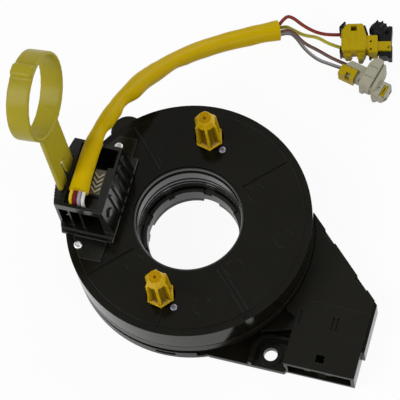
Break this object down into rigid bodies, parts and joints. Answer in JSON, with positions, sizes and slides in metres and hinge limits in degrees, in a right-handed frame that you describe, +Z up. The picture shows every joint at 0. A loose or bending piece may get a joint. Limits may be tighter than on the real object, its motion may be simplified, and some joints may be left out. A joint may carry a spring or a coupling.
{
  "type": "steering clock spring",
  "caption": "Ring-shaped rotary cable unit for a steering column, with a socket arm, a connector tower, a pull-out lock tab and a sleeved lead ending in plugs.",
  "frame": {"origin": "on the bore axis at the underside of the bottom cover", "axes": "+Z up the steering shaft towards the wheel, +X along the width of the stator's socket, +Y away from that socket's mouth"},
  "size_m": [0.155, 0.1749, 0.1302],
  "materials": {
    "black_plastic": "slightly glossy black",
    "grey_plastic": "satin grey",
    "light_grey_plastic": "satin light grey",
    "yellow_plastic": "satin yellow",
    "olive_plastic": "slightly translucent olive yellow",
    "beige_plastic": "matt beige",
    "yellow_sleeve": "satin yellow",
    "screw_steel": "bright zinc",
    "contact_metal": "plated contact",
    "flat_cable_film": "amber film",
    "wire_yellow": "satin insulation",
    "wire_red": "satin insulation",
    "wire_lilac": "satin insulation",
    "wire_white": "satin insulation",
    "wire_brown": "satin insulation",
    "wire_grey": "satin insulation"
  },
  "bodies": {
    "stator": {"stator_housing": "black_plastic", "socket_arm": "black_plastic", "bottom_cover": "black_plastic", "arm_lid": "black_plastic", "stator_header": "black_plastic", "stator_blades": "contact_metal", "flat_cable": "flat_cable_film"},
    "rotor": {"hub_sleeve": "black_plastic", "cancel_ring": "grey_plastic", "rotor_disc": "black_plastic", "drive_pin_back": "yellow_plastic", "drive_pin_front": "yellow_plastic", "drive_pin_screws": "screw_steel", "connector_tower": "black_plastic", "tower_screws": "screw_steel", "rotor_blades": "contact_metal", "terminal_block": "beige_plastic", "cable_sleeve": "yellow_sleeve", "near_wire_yellow": "wire_yellow", "near_wire_red": "wire_red", "near_wire_lilac": "wire_lilac", "near_wire_white": "wire_white", "wire_brown": "wire_brown", "wire_striped": "wire_yellow", "wire_grey_brown": "wire_grey", "wire_grey": "wire_grey", "yellow_plug": "yellow_plastic", "yellow_plug_catches": "black_plastic", "grey_plug": "light_grey_plastic", "grey_plug_insert": "yellow_plastic"},
    "lock_tab": {"lock_tab": "olive_plastic"},
    "yellow_lock": {"yellow_plug_lock": "black_plastic"},
    "grey_lock": {"grey_plug_lock": "yellow_plastic"}
  },
  "joints": [
    {"name": "rotor_turn", "type": "hinge", "parent": "stator", "child": "rotor", "pos_m": [0, 0, 0], "axis": [0, 0, 1], "range_deg": [-900, 900]},
    {"name": "lock_tab_pull", "type": "slide", "parent": "rotor", "child": "lock_tab", "axis": [-0.1414, 0.1862, 0.9723], "range_m": [0, 0.022]},
    {"name": "yellow_lock_slide", "type": "slide", "parent": "rotor", "child": "yellow_lock", "axis": [0.9701, 0.2425, 0], "range_m": [0, 0.002]},
    {"name": "grey_lock_slide", "type": "slide", "parent": "rotor", "child": "grey_lock", "axis": [-0.9701, 0.2425, 0], "range_m": [0, 0.002]}
  ]
}
